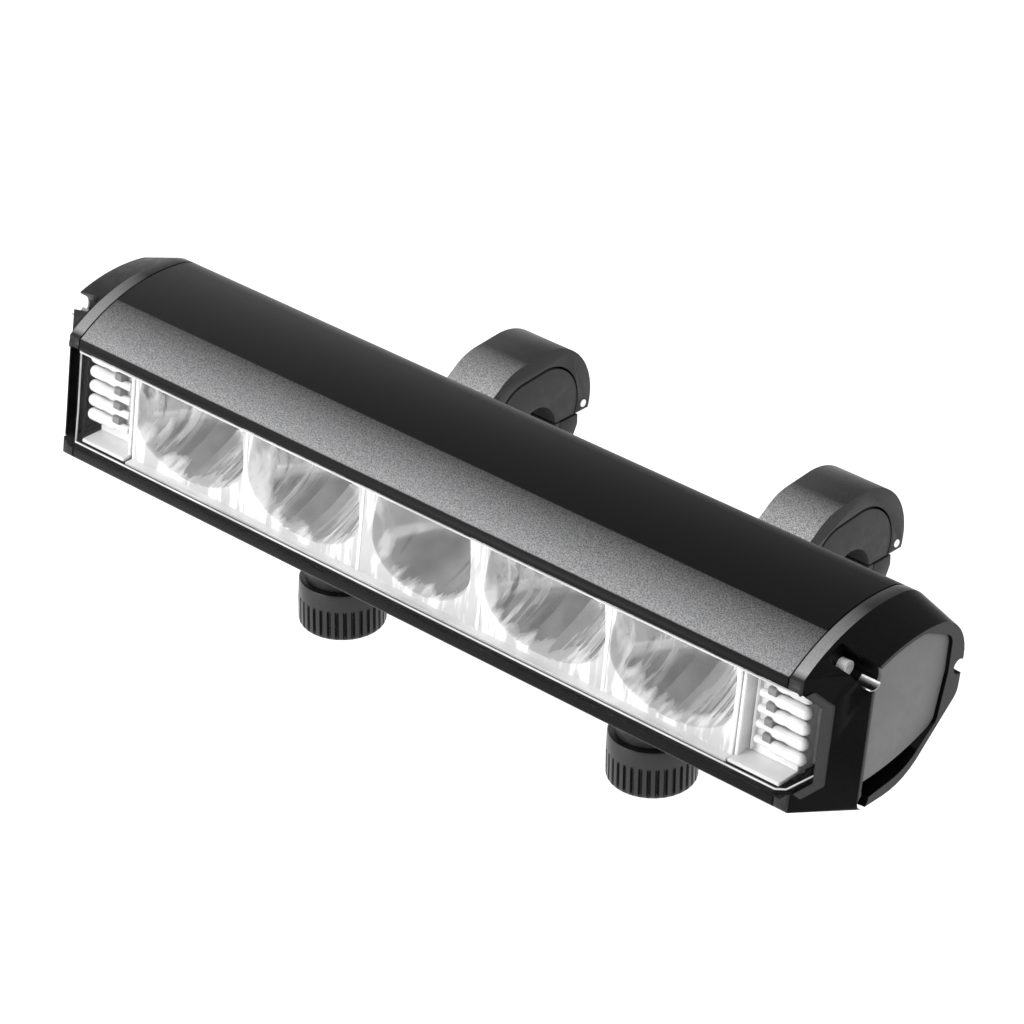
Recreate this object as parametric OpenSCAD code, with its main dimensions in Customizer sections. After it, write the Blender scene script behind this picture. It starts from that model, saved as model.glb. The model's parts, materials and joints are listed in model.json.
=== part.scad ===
// LED light bar on two hinged tube clamps.
// X runs along the bar, +Y to its back and +Z up. The origin is on the axis of
// the tube that carries the bar, midway between the two clamps.

/* [Bar] */
// Length over the two end panels
bar_length = 400; // [360:1:520]
// Depth of an end cap beyond its metal end frame
cap_depth = 17; // [14:1:20]
// Width of the metal end frame
frame_width = 6; // [4:1:8]
// Distance from the tube axis forward to the foot of the lens face
bar_reach = 147; // [145:1:150]
// Height of the bar's underside over the tube axis
bar_lift = 5.5; // [5:0.1:6]
// Angle by which the lens face leans back
face_lean = 7; // [5:1:8]
// Wall of the extruded housing
wall = 2.4; // [2:0.1:2.5]

/* [Light] */
// Number of main reflector bowls
bowl_count = 5; // [3:1:6]
// Pitch of the main reflector bowls
bowl_pitch = 61; // [50:1:61]
// Focal length of a bowl
bowl_focus = 7.6; // [7:0.1:8]
// Number of small lamps in each end marker
marker_count = 5; // [3:1:6]

/* [Clamps] */
// Diameter of the tube that the clamps hold
tube_diameter = 22.2; // [20:0.1:23]
// Distance of each clamp from the middle of the bar
clamp_offset = 80; // [60:1:120]
// Width of a clamp along the tube
clamp_width = 25; // [22:1:28]
// Outer radius of the clamp ring
ring_radius = 26; // [25:0.1:26.5]
// Radius of the pocket for the soft liner in the upper jaw
liner_radius = 18.5; // [18:0.1:19]

/* [Knobs] */
// Outer radius of a knob over its ribs
knob_radius = 17.2; // [15:0.1:18]
// Number of ribs round a knob
rib_count = 34; // [24:1:40]
// Distance from the tube axis forward to the knob
knob_reach = 97; // [94:1:98]

/* [Hidden] */
$fn = 64;
eps = 0.01;
fit_gap = 0.2;
frame_x = bar_length / 2 - cap_depth;
housing_x = frame_x - frame_width;

// Outline of the bar seen from its end: corner circles [y, z, radius] measured
// from the foot of the lens face, and the large arc that closes the top.
crown = [50, -12.4];
crown_radius = 76.4;
nose_angle = 8;
nose_radius = 18;
nose = [crown[0] + (crown_radius - nose_radius) * sin(nose_angle),
        crown[1] + (crown_radius - nose_radius) * cos(nose_angle), nose_radius];
brow_height = 70.2;
brow = [brow_height * tan(face_lean) + 2.6, brow_height - 2.5, 2.5];
body_corners = [[2.6, 2.5, 2.5], [30, 30, 30], [65.5, 28.5, 7.5], nose, brow];

// Lens: a tray with end facets turned back by 45 degrees. It is measured in
// the leaning plane of the face, n into the bar and s up the face.
lens_front_x = frame_x - 6;
lens_end_x = lens_front_x + 11;
lens_low = 5.2;
lens_high = 46.4;
lens_skin = 2.5;
seal_skin = 1.2;
seal_width = 1.4;
sill_depth = 6;

// Optics
optics_front = 7.2;
board_skin = 1.6;
web_y = 44;
web_skin = 3;
bowl_low = 5.6;
bowl_high = 46.2;
bowl_mid = (bowl_low + bowl_high) / 2;
led_port = 5;
optics_half = bowl_count * bowl_pitch / 2;
marker_inner_x = optics_half + 0.5;
marker_outer_x = housing_x - 0.5;

// Screws at the bar's ends, [y, z] in the end outline
cap_screw_spots = [[25.2, 50.4], [72, 35], [21.5, 3.2]];
cap_screw_radius = 1.6;
cap_head_radius = 2.8;
cap_head_length = 3.5;
recess_radius = 3;
open_recess_radius = 4.3;
recess_turn = 31;
screw_boss_radius = 3.8;

// Clamp: the split plane holds the tube axis
bore_radius = tube_diameter / 2;
ring_centre = [5.4, 8.4];
split_gap = 0.4;
lower_ring = [4, 3.2, 21.5];
shoulder = [-7, 9.2];
shoulder_drop = 1.8;
liner_shift = [0.65, -0.6];
liner_play = 0.9;
lower_liner_radius = 14;
hinge = [27, 3.4];
hinge_pin_radius = 1.6;
knuckle_radius = 4.4;
knuckle_width = 10;
pin_clearance = 0.05;
arm_step_z = -8;
arm_low_z = -17;
boss_radius = 14.5;
boss_low_z = -27.5;
stud_radius = 3;
stud_top_z = 7;
insert_radius = 5.6;
insert_top_z = 9;
tip_clearance = 0.8;
arm_screw_spots = [-130, -118];
arm_screw_radius = 2.5;
arm_screw_top_z = 10.2;
knob_low_z = -48.2;
rib_low_z = -47.2;
rib_high_z = -34.5;
knob_top_z = boss_low_z - 0.3;

// Cable inlet at the middle of the bar's back
gland_height = 36;
gland_radius = 6;
gland_hex_radius = 9;
gland_face_y = 72.4;
gland_pad_half = 14;
cable_radius = 3.2;

// Rear grooves of the housing
groove_count = 4;
groove_y = 74.2;
groove_step = 0.75;
groove_low = 29.5;
groove_pitch = 4.4;
groove_radius = 1.6;
rail_depth = 42;
rail_height = 5.5;

// Cut corners of the lens ends and of the depth of its end facets
lens_turn = lens_end_x - lens_front_x;
corner_low = 8;
corner_high = 5;
corner_top = 6;

// Bowls, boards and LEDs
bowl_vertex_y = 39;
bowl_wall = 1;
board_y = web_y - board_skin;
chip_size = 6;
chip_skin = 0.7;
wire_hole_x = 140;
wire_hole_radius = 4;
driver_half = 110;
driver_y = 51;
driver_low = 16;
driver_height = 36;

// End marker lamps
marker_pitch = 6;
marker_lobe = 2.6;
marker_depth = 11.3;
marker_floor = 13.2;
marker_mid = 28.2;
marker_start_x = 160;
marker_tip_x = 181;

// End caps: outline of the end face, panel pocket, slot under the panel
end_seal_skin = 0.8;
cap_front = 1.5;
cap_crown_radius = 70.9;
cap_nose_radius = 17;
cap_nose = [crown[0] + (cap_crown_radius - cap_nose_radius) * sin(nose_angle),
            crown[1] + (cap_crown_radius - cap_nose_radius) * cos(nose_angle),
            cap_nose_radius];
cap_brow = [24.5 + 2.6, 64 - 2.5, 2.5];
cap_corners = [[20.8, 2.9, 2.5], [32, 30.5, 30], [64.8, 28.8, 7.6], cap_nose, cap_brow];
cap_face_y = 18.2;
panel_face_y = cap_face_y + 1.1;
panel_crown = cap_crown_radius - 1.2;
panel_corners = [[23.2, 6.4, 3], [33, 34, 29.5], [57.5, 20.5, 4], [54, 38, 12.3],
                 [62.4, 46.8, 5], [50, 46.3, 11], [28.1, 60, 1.5]];
panel_sill = [22.5, 115.8, 106];
slot_x = bar_length / 2 - 8;
panel_skin = 1.4;
panel_x = bar_length / 2 - 1.6;
cap_hollow_x = frame_x + 5;
cap_hollow_y = 16;
recess_x = [frame_x + 1.5, frame_x + 2.5, frame_x + 2.5];

// Clamp arms and jaws, [y, z] outlines
arm_width = 24;
liner_width = 24.4;
arm_head_radius = 4.2;
arm_head_top_z = 0;
arm_outline = [[-137, -0.5], [-127, arm_step_z], [-50, arm_step_z], [-41.5, split_gap],
               [-14, split_gap], [-14, 17], [-30, 14], [-98, 9.9], [-112, bar_lift],
               [-137, bar_lift]];
jaw_outline = [[-knob_reach, arm_low_z], [-36, arm_low_z], [-8, -16.5], [-8, -split_gap],
               [-41.4, -split_gap], [-49.4, arm_step_z - split_gap],
               [-knob_reach, arm_step_z - split_gap]];
neck_outline = [[23.1, 2.8], [23.1, -split_gap], [18, -split_gap], [18.5, -12], [25, -7],
                [30.6, 1]];
shoulder_outline = [[-50, 1], [-50, 12.8], [-45, 13], [-20.5, 29.2], [-7, 9.2], [-7, 1]];
rib_groove = 0.85;

gland_seal_skin = 1.2;
gland_nut_y = gland_face_y + gland_seal_skin + 6;

// Right-hand side of the direction from circle a to circle b, as the unit
// normal of the line that touches both circles on that side.
function touch_normal(a, b) =
  let (d = [b[0] - a[0], b[1] - a[1]],
       len = norm(d),
       u = d / len,
       s = (a[2] - b[2]) / len)
  s * u + sqrt(1 - s * s) * [u[1], -u[0]];

function touch_points(c) =
  [for (i = [0 : len(c) - 1])
    let (a = c[i], b = c[(i + 1) % len(c)], n = touch_normal(a, b))
    each [[a[0], a[1]] + a[2] * n, [b[0], b[1]] + b[2] * n]];

// Outline of a band pulled round the circles c, which run anticlockwise. Its
// straight sides lie a hair inside the tangents, so that they cross the circles.
module band_outline(c) {
  polygon(touch_points([for (p = c) [p[0], p[1], p[2] - 2 * eps]]));
  for (p = c)
    translate([p[0], p[1]])
      circle(r = p[2]);
}

// Circles drawn in by inset, none of them below half a millimetre in radius.
function drawn_in(c, inset) =
  [for (p = c)
    let (e = max(0, inset + 0.5 - p[2]))
    [p[0] + e, p[1] + (p[1] < bowl_mid ? e : -e), p[2] - inset + e]];

// Everything behind the leaning plane that meets the bar's floor at y.
module behind(y) {
  translate([y, 0])
    rotate(-face_lean)
      translate([0, -60])
        square(180);
}

// A band cut off by the leaning plane at y and rounded off by a crown circle.
module crowned_outline(corners, y, radius) {
  intersection() {
    band_outline(corners);
    behind(y);
    translate(crown)
      circle(r = radius, $fn = 180);
  }
}

// End outline of the bar, drawn in by inset.
module bar_outline(inset = 0) {
  crowned_outline(drawn_in(body_corners, inset), inset, crown_radius - inset);
}

// Extrudes a [y, z] outline along X from x0 to x1.
module along_x(x0, x1) {
  translate([x0, 0, 0])
    rotate([90, 0, 90])
      linear_extrude(height = x1 - x0)
        children();
}

module rod_x(x0, x1, y, z, r) {
  translate([x0, y, z])
    rotate([0, 90, 0])
      cylinder(h = x1 - x0, r = r);
}

module rod_y(x, y0, y1, z, r) {
  translate([x, y0, z])
    rotate([-90, 0, 0])
      cylinder(h = y1 - y0, r = r);
}

// Moves bar coordinates to the tube axis.
module bar_place() {
  translate([0, -bar_reach, bar_lift])
    children();
}

// Leans the lens plane back about the foot of the face.
module lean() {
  rotate([-face_lean, 0, 0])
    children();
}

// Both sides share one shape: side is 1 at the right end and -1 at the left.
module on_side(side) {
  if (side > 0)
    children();
  else
    mirror([1, 0, 0])
      children();
}

// ---- Housing ----

module rear_grooves() {
  for (i = [0 : groove_count - 1])
    rod_x(-housing_x - 1, housing_x + 1, groove_y + groove_step * i,
          groove_low + groove_pitch * i, groove_radius);
}

// Lugs for the upper screws of the bar's ends, the front one hung from the top
module screw_bosses() {
  front = cap_screw_spots[0];
  for (i = [0, 1])
    translate(cap_screw_spots[i])
      circle(r = screw_boss_radius);
  translate([front[0] - 1.6, front[1]])
    square([3.2, 2 * screw_boss_radius + 6]);
}

module housing_section() {
  difference() {
    bar_outline();
    difference() {
      bar_outline(wall);
      // Thick sill behind the lens, floor rail for the clamp arms, LED web
      translate([-1, 0])
        rotate(-face_lean)
          square([sill_depth + 1, 2 * rail_depth]);
      translate([-1, web_y + web_skin])
        rotate(-face_lean)
          square([sill_depth + 1, 2 * rail_depth]);
      square([rail_depth, rail_height]);
      translate([web_y, 0])
        square([web_skin, 2 * rail_depth]);
      screw_bosses();
    }
  }
}

// Plan outline of the lens between depths n0 and n1 behind its outer face.
function lens_edge(d) =
  [[lens_front_x - d * tan(22.5), d], [lens_end_x - d * sqrt(0.5), lens_turn + d * sqrt(0.5)]];

function left_of(points) = [for (p = points) [-p[0], p[1]]];

function lens_plan(n0, n1) =
  let (a = lens_edge(n0), b = lens_edge(n1))
  concat([a[0], a[1], b[1], b[0]], left_of([b[0], b[1], a[1], a[0]]));

// Front view of the lens: both ends have cut corners. grow widens it.
module lens_mask(grow) {
  right = [[lens_end_x + grow, lens_low + corner_low],
           [lens_end_x + grow, lens_high - corner_high],
           [lens_end_x - corner_top, lens_high + grow]];
  low = [lens_end_x - corner_low, lens_low - grow];
  polygon(concat([low], right, left_of([right[2], right[1], right[0], low])));
}

// A slab that follows the lens face between depths n0 and n1.
module lens_slab(n0, n1, grow) {
  lean()
    intersection() {
      translate([0, 0, lens_low - 5])
        linear_extrude(height = lens_high - lens_low + 10)
          polygon(lens_plan(n0, n1));
      translate([0, 40, 0])
        rotate([90, 0, 0])
          linear_extrude(height = 60)
            lens_mask(grow);
    }
}

// Opening for the lens and, behind it, the smaller window for the light.
module lens_window() {
  lens_slab(-8, lens_skin + seal_skin, fit_gap);
  lens_slab(0, sill_depth + 3, -seal_width);
}

// Thick wall round the cable inlet
module gland_pad() {
  along_x(-gland_pad_half, gland_pad_half)
    intersection() {
      bar_outline(wall / 2);
      translate([gland_face_y - 8, gland_height - gland_pad_half])
        square([20, 2 * gland_pad_half]);
    }
}

module housing() {
  color("dimgray")
    bar_place()
      difference() {
        union() {
          along_x(-housing_x, housing_x)
            housing_section();
          gland_pad();
        }
        lens_window();
        rear_grooves();
        // Spot face and hole of the cable inlet
        rod_y(0, gland_face_y, gland_face_y + 10, gland_height, gland_hex_radius + 3);
        rod_y(0, gland_face_y - 10, gland_face_y + 10, gland_height, gland_radius + 0.05);
        // Wire holes through the LED web
        for (x = [-wire_hole_x, wire_hole_x])
          rod_y(x, web_y - 1, web_y + web_skin + 1, gland_height, wire_hole_radius);
        for (side = [-1, 1])
          on_side(side)
            cap_screw_holes(housing_x - 5, housing_x + 1);
        for (x = [-clamp_offset, clamp_offset])
          for (y = arm_screw_spots)
            translate([x, y + bar_reach, -1])
              cylinder(h = arm_screw_top_z - bar_lift + 1.3, r = arm_screw_radius + 0.05);
      }
}

// ---- Lens ----

module lens() {
  color([0.9, 0.95, 1, 0.35])
    bar_place()
      lens_slab(0, lens_skin, 0);
}

module lens_seal() {
  color("black")
    bar_place()
      difference() {
        lens_slab(lens_skin, lens_skin + seal_skin, 0);
        lens_slab(lens_skin - 1, lens_skin + seal_skin + 1, -seal_width);
      }
}

// ---- Optics ----

function bowl_x(i) = (i - (bowl_count - 1) / 2) * bowl_pitch;

// Paraboloid that opens forward, its focus at the LED.
module bowl_cut(x) {
  steps = 14;
  depth = bowl_vertex_y - optics_front;
  rim = 2 * sqrt(bowl_focus * depth);
  intersection() {
    translate([x, bowl_vertex_y, bowl_mid])
      rotate([90, 0, 0])
        rotate_extrude($fn = 72)
          polygon(concat([[0, 0]],
            [for (k = [1 : steps]) [rim * k / steps, depth * k * k / steps / steps]],
            [[rim, depth + 1], [0, depth + 1]]));
    translate([x - bowl_pitch / 2 + bowl_wall, 0, bowl_low + bowl_wall])
      cube([bowl_pitch - 2 * bowl_wall, bowl_vertex_y, bowl_high - bowl_low - 2 * bowl_wall]);
  }
}

module reflector() {
  color("silver")
    bar_place()
      difference() {
        along_x(-optics_half, optics_half)
          intersection() {
            behind(optics_front);
            translate([0, bowl_low])
              square([board_y, bowl_high - bowl_low]);
          }
        for (i = [0 : bowl_count - 1]) {
          bowl_cut(bowl_x(i));
          rod_y(bowl_x(i), optics_front, board_y + 1, bowl_mid, led_port);
        }
      }
}

module led_board() {
  color("white")
    bar_place()
      translate([-optics_half, board_y, bowl_low + 1])
        cube([2 * optics_half, board_skin, bowl_high - bowl_low - 2]);
}

module led_chips() {
  color("gold")
    bar_place()
      for (i = [0 : bowl_count - 1])
        translate([bowl_x(i), board_y, bowl_mid]) {
          translate([-chip_size / 2, -chip_skin, -chip_size / 2])
            cube([chip_size, chip_skin, chip_size]);
          translate([0, -chip_skin, 0])
            rotate([90, 0, 0])
              cylinder(h = chip_skin, r = chip_size / 2 - 0.5);
        }
}

module driver_board() {
  color("darkgreen")
    bar_place() {
      translate([-driver_half, driver_y, driver_low])
        cube([2 * driver_half, board_skin, driver_height]);
      for (x = [-driver_half + 8, driver_half - 8])
        for (z = [driver_low + 6, driver_low + driver_height - 6])
          rod_y(x, web_y + web_skin, driver_y, z, 3);
    }
}

module driver_parts() {
  color("darkslategray")
    bar_place() {
      for (side = [-1, 1])
        on_side(side) {
          for (i = [0, 1])
            rod_y(driver_half - 35 + 13 * i, driver_y + board_skin, driver_y + board_skin + 9,
                  driver_low + 22, 4.5);
          translate([40, driver_y + board_skin, driver_low + 8])
            cube([10, 3, 12]);
        }
      translate([-9, driver_y + board_skin, driver_low + 8])
        cube([18, 9, 14]);
    }
}

// ---- End markers ----

function marker_up(i) = marker_mid + (i - (marker_count - 1) / 2) * marker_pitch;

// Tray that is open to the front and to the bar's end, and its row of lobes
module marker(side) {
  color("whitesmoke")
    bar_place()
      on_side(side) {
        difference() {
          along_x(marker_inner_x, marker_outer_x)
            intersection() {
              behind(optics_front);
              translate([0, bowl_low + 1])
                square([board_y, bowl_high - bowl_low - 2]);
            }
          lean()
            translate([marker_inner_x + 1.5, -1, bowl_low + 4])
              cube([30, marker_floor + 1, bowl_high - bowl_low - 6.5]);
        }
        lean()
          for (i = [0 : marker_count - 1]) {
            rod_x(marker_start_x, marker_tip_x - marker_lobe, marker_depth, marker_up(i),
                  marker_lobe);
            translate([marker_tip_x - marker_lobe, marker_depth, marker_up(i)])
              sphere(r = marker_lobe);
          }
      }
}

module marker_board(side) {
  color("darkgreen")
    bar_place()
      on_side(side)
        difference() {
          translate([marker_inner_x, board_y, bowl_low + 1])
            cube([marker_outer_x - marker_inner_x, board_skin, bowl_high - bowl_low - 2]);
          rod_y((marker_inner_x + marker_outer_x) / 2, board_y - 1, board_y + board_skin + 1,
                bowl_mid, 1.6);
        }
}

// ---- Bar ends ----

module cap_screw_holes(x0, x1) {
  for (spot = cap_screw_spots)
    rod_x(x0, x1, spot[0], spot[1], cap_screw_radius + 0.05);
}

module end_ring(x0, x1, inset, width) {
  difference() {
    along_x(x0, x1)
      difference() {
        bar_outline(inset);
        difference() {
          bar_outline(inset + width);
          square([rail_depth - 6, rail_height + 0.6]);
          screw_bosses();
        }
      }
    lens_window();
    cap_screw_holes(x0 - 1, x1 + 1);
  }
}

module end_seal(side) {
  color("black")
    bar_place()
      on_side(side)
        end_ring(housing_x, housing_x + end_seal_skin, 0.5, wall + 2);
}

module end_frame(side) {
  color("silver")
    bar_place()
      on_side(side)
        end_ring(housing_x + end_seal_skin, frame_x, 0, wall + 2.6);
}

module cap_outer_outline() {
  crowned_outline(cap_corners, cap_face_y, cap_crown_radius);
}

module cap_solid() {
  hull() {
    along_x(frame_x, frame_x + eps)
      intersection() {
        bar_outline($fn = 48);
        behind(cap_front);
      }
    along_x(bar_length / 2 - eps, bar_length / 2)
      cap_outer_outline($fn = 48);
  }
}

// Pocket in the end face for the panel, with a deep slot along its foot.
module panel_outline(inset) {
  crowned_outline(drawn_in(panel_corners, inset), panel_face_y + inset, panel_crown - inset);
}

module above_sill(inset) {
  translate([panel_sill[0], panel_sill[1]])
    circle(r = panel_sill[2] - inset, $fn = 180);
}

// Recess of the front screw, which opens out of the cap's top and front
module open_recess(x, r) {
  spot = cap_screw_spots[0];
  rod_x(x, bar_length / 2 + 1, spot[0], spot[1], r);
  translate([x, spot[0], spot[1]])
    rotate([recess_turn, 0, 0])
      translate([0, 0.02 - r, 0])
        cube([bar_length / 2 + 1 - x, 2 * (r - 0.02), 30]);
}

module end_cap(side) {
  color("black")
    bar_place()
      on_side(side)
        difference() {
          cap_solid();
          lens_window();
          // Hollow for the marker lamps
          translate([frame_x - 1, cap_hollow_y, bowl_low + 3])
            cube([cap_hollow_x - frame_x + 1, 38, bowl_high - bowl_low - 6]);
          cap_screw_holes(frame_x - 1, bar_length / 2 + 1);
          for (i = [1, 2])
            rod_x(recess_x[i], bar_length / 2 + 1, cap_screw_spots[i][0], cap_screw_spots[i][1],
                  recess_radius);
          open_recess(recess_x[0], open_recess_radius);
          along_x(panel_x - panel_skin, bar_length / 2 + 1)
            panel_outline(0);
          along_x(slot_x, bar_length / 2 + 1)
            difference() {
              panel_outline(0);
              above_sill(0);
            }
        }
}

module end_panel(side) {
  color("gray")
    bar_place()
      on_side(side)
        difference() {
          along_x(panel_x - panel_skin, panel_x)
            intersection() {
              panel_outline(0.15);
              above_sill(0.15);
            }
          open_recess(panel_x - 2 * panel_skin, open_recess_radius + 0.6);
        }
}

module cap_screws(side) {
  color("gainsboro")
    bar_place()
      on_side(side)
        for (i = [0 : 2])
          difference() {
            union() {
              rod_x(housing_x - 4, recess_x[i] + 1, cap_screw_spots[i][0], cap_screw_spots[i][1],
                    cap_screw_radius);
              rod_x(recess_x[i], recess_x[i] + cap_head_length, cap_screw_spots[i][0],
                    cap_screw_spots[i][1], cap_head_radius);
            }
            translate([recess_x[i] + cap_head_length - 2, cap_screw_spots[i][0],
                       cap_screw_spots[i][1]])
              rotate([0, 90, 0])
                cylinder(h = 3, r = 1.5, $fn = 6);
          }
}

// ---- Cable inlet ----

module gland_body() {
  color("black")
    bar_place()
      difference() {
        union() {
          rod_y(0, gland_face_y - 8, gland_face_y + gland_seal_skin, gland_height, gland_radius);
          translate([0, gland_face_y + gland_seal_skin, gland_height])
            rotate([-90, 0, 0])
              cylinder(h = 5, r = gland_hex_radius, $fn = 6);
          rod_y(0, gland_face_y + gland_seal_skin + 5, gland_nut_y + 4, gland_height,
                gland_radius + 0.5);
        }
        rod_y(0, gland_face_y - 9, gland_nut_y + 5, gland_height, cable_radius + 0.8);
      }
}

module gland_seal() {
  color("dimgray")
    bar_place()
      difference() {
        rod_y(0, gland_face_y, gland_face_y + gland_seal_skin, gland_height,
              gland_hex_radius - 0.5);
        rod_y(0, gland_face_y - 1, gland_face_y + 3, gland_height, gland_radius);
      }
}

module gland_nut() {
  color("black")
    bar_place()
      difference() {
        union() {
          rod_y(0, gland_nut_y, gland_nut_y + 6, gland_height, gland_hex_radius - 0.6);
          translate([0, gland_nut_y + 6, gland_height])
            rotate([-90, 0, 0])
              cylinder(h = 3, r1 = gland_hex_radius - 0.6, r2 = cable_radius + 1.6);
        }
        rod_y(0, gland_nut_y - 1, gland_nut_y + 4, gland_height, gland_radius + 0.5);
        rod_y(0, gland_nut_y, gland_nut_y + 14, gland_height, cable_radius);
        for (a = [0 : 30 : 330])
          translate([0, gland_nut_y, gland_height])
            rotate([-90, a, 0])
              translate([gland_hex_radius - 0.2, 0, 1])
                cylinder(h = 4.5, r = 0.9);
      }
}

// ---- Clamps ----

// A [y, z] outline extruded over the width of a clamp.
module clamp_slab(width = clamp_width) {
  along_x(clamp_offset - width / 2, clamp_offset + width / 2)
    children();
}

module hinge_slab(r, width) {
  rod_x(clamp_offset - width / 2, clamp_offset + width / 2, hinge[0], hinge[1], r);
}

// Ring seen from its end, with the shoulder that runs on into the arm; inset
// draws it in to the liner's pocket.
module ring_outline(inset = 0) {
  band_outline([[ring_centre[0], ring_centre[1], ring_radius - inset],
                [shoulder[0], shoulder[1], ring_radius - shoulder_drop - inset]], $fn = 96);
}

module above_split(gap) {
  translate([-200, gap])
    square([400, 100]);
}

module below_split(gap, back) {
  translate([-200, -100 - gap])
    square([200 + back, 100]);
}

module clamp_arm(side) {
  color("dimgray")
    on_side(side)
      difference() {
        union() {
          clamp_slab()
            intersection() {
              union() {
                ring_outline();
                polygon(shoulder_outline);
              }
              above_split(split_gap);
            }
          clamp_slab(arm_width)
            polygon(arm_outline);
        }
        clamp_slab(2 * clamp_width)
          ring_outline(ring_radius - liner_radius);
        // Slot for the jaw's knuckle, and the hinge pin's hole
        hinge_slab(knuckle_radius + 0.7, knuckle_width + 0.8);
        hinge_slab(hinge_pin_radius, 2 * clamp_width);
        translate([clamp_offset, -knob_reach, arm_step_z - 1])
          cylinder(h = insert_top_z - arm_step_z + 10, r = insert_radius);
        for (y = arm_screw_spots)
          translate([clamp_offset, y, 0]) {
            translate([0, 0, -20])
              cylinder(h = 20 + arm_head_top_z, r = arm_head_radius + 0.4);
            cylinder(h = 20, r = arm_screw_radius + 0.1, center = true);
          }
      }
}

module arm_screws(side) {
  color("silver")
    on_side(side)
      for (y = arm_screw_spots)
        translate([clamp_offset, y, 0])
          difference() {
            union() {
              translate([0, 0, arm_head_top_z - 4])
                cylinder(h = 4, r = arm_head_radius);
              cylinder(h = arm_screw_top_z, r = arm_screw_radius);
              translate([0, 0, arm_head_top_z - eps])
                cylinder(h = 2, r = arm_screw_radius);
            }
            translate([0, 0, arm_head_top_z - 5])
              cylinder(h = 3, r = 2.2, $fn = 6);
          }
}

module upper_liner(side) {
  color("black")
    on_side(side)
      difference() {
        clamp_slab(liner_width)
          difference() {
            intersection() {
              translate(liner_shift)
                ring_outline(ring_radius - liner_radius + liner_play);
              above_split(split_gap);
            }
            circle(r = bore_radius);
          }
        hinge_slab(knuckle_radius + 0.7, knuckle_width + 0.8);
      }
}

module thread_insert(side) {
  color("goldenrod")
    on_side(side)
      translate([clamp_offset, -knob_reach, arm_step_z])
        difference() {
          cylinder(h = insert_top_z - arm_step_z, r = insert_radius);
          translate([0, 0, -1])
            cylinder(h = 30, r = stud_radius + tip_clearance);
        }
}

module hinge_pin(side) {
  color("white")
    on_side(side)
      hinge_slab(hinge_pin_radius, clamp_width + 0.6);
}

module clamp_jaw(side) {
  color("dimgray")
    on_side(side)
      difference() {
        union() {
          clamp_slab()
            intersection() {
              translate([lower_ring[0], lower_ring[1]])
                circle(r = lower_ring[2], $fn = 96);
              below_split(split_gap, hinge[0] - 2.9);
            }
          clamp_slab(arm_width)
            polygon(jaw_outline);
          translate([clamp_offset, -knob_reach, boss_low_z])
            cylinder(h = arm_step_z - split_gap - boss_low_z, r = boss_radius);
          hinge_slab(knuckle_radius, knuckle_width);
          clamp_slab(knuckle_width)
            polygon(neck_outline);
        }
        clamp_slab(2 * clamp_width)
          circle(r = lower_liner_radius);
        hinge_slab(hinge_pin_radius + pin_clearance, 2 * clamp_width);
        translate([clamp_offset, -knob_reach, boss_low_z - 1])
          cylinder(h = 40, r = stud_radius + pin_clearance);
      }
}

module lower_liner(side) {
  color("black")
    on_side(side)
      clamp_slab(liner_width)
        difference() {
          intersection() {
            circle(r = lower_liner_radius);
            below_split(split_gap, 60);
          }
          circle(r = bore_radius);
        }
}

// ---- Knobs ----

module stud(side) {
  color("silver")
    on_side(side)
      translate([clamp_offset, -knob_reach, knob_low_z + 6])
        cylinder(h = stud_top_z - knob_low_z - 6, r = stud_radius);
}

module knob(side) {
  color("black")
    on_side(side)
      translate([clamp_offset, -knob_reach, 0])
        difference() {
          union() {
            translate([0, 0, knob_low_z])
              cylinder(h = rib_low_z - knob_low_z, r1 = knob_radius - 1.6, r2 = knob_radius - 0.4);
            translate([0, 0, rib_low_z])
              cylinder(h = rib_high_z - rib_low_z, r = knob_radius);
            translate([0, 0, rib_high_z])
              cylinder(h = knob_top_z - rib_high_z, r1 = knob_radius - 0.9, r2 = boss_radius + 0.5);
          }
          for (i = [0 : rib_count - 1])
            rotate(360 * i / rib_count)
              translate([knob_radius + 0.1, 0, knob_low_z - 1])
                cylinder(h = rib_high_z - knob_low_z + 1, r = rib_groove, $fn = 16);
          translate([0, 0, knob_low_z - 1])
            cylinder(h = 3, r = knob_radius - 5);
          translate([0, 0, knob_low_z + 6])
            cylinder(h = 60, r = stud_radius);
        }
}

housing();
lens();
lens_seal();
reflector();
led_board();
led_chips();
driver_board();
driver_parts();
gland_body();
gland_nut();
gland_seal();
marker(-1);  // marker_left
marker(1);  // marker_right
marker_board(-1);  // marker_board_left
marker_board(1);  // marker_board_right
end_frame(-1);  // end_frame_left
end_frame(1);  // end_frame_right
end_seal(-1);  // end_seal_left
end_seal(1);  // end_seal_right
end_cap(-1);  // end_cap_left
end_cap(1);  // end_cap_right
end_panel(-1);  // end_panel_left
end_panel(1);  // end_panel_right
cap_screws(-1);  // cap_screws_left
cap_screws(1);  // cap_screws_right
clamp_arm(-1);  // clamp_arm_left
clamp_arm(1);  // clamp_arm_right
arm_screws(-1);  // arm_screws_left
arm_screws(1);  // arm_screws_right
upper_liner(-1);  // upper_liner_left
upper_liner(1);  // upper_liner_right
thread_insert(-1);  // thread_insert_left
thread_insert(1);  // thread_insert_right
hinge_pin(-1);  // hinge_pin_left
hinge_pin(1);  // hinge_pin_right
clamp_jaw(-1);  // clamp_jaw_left
clamp_jaw(1);  // clamp_jaw_right
lower_liner(-1);  // lower_liner_left
lower_liner(1);  // lower_liner_right
stud(-1);  // stud_left
stud(1);  // stud_right
knob(-1);  // knob_left
knob(1);  // knob_right
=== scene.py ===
"""LED light bar on two tube clamps: the looks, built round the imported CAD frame."""

import json
import math

import bmesh
import bpy
from mathutils import Matrix, Vector


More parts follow.
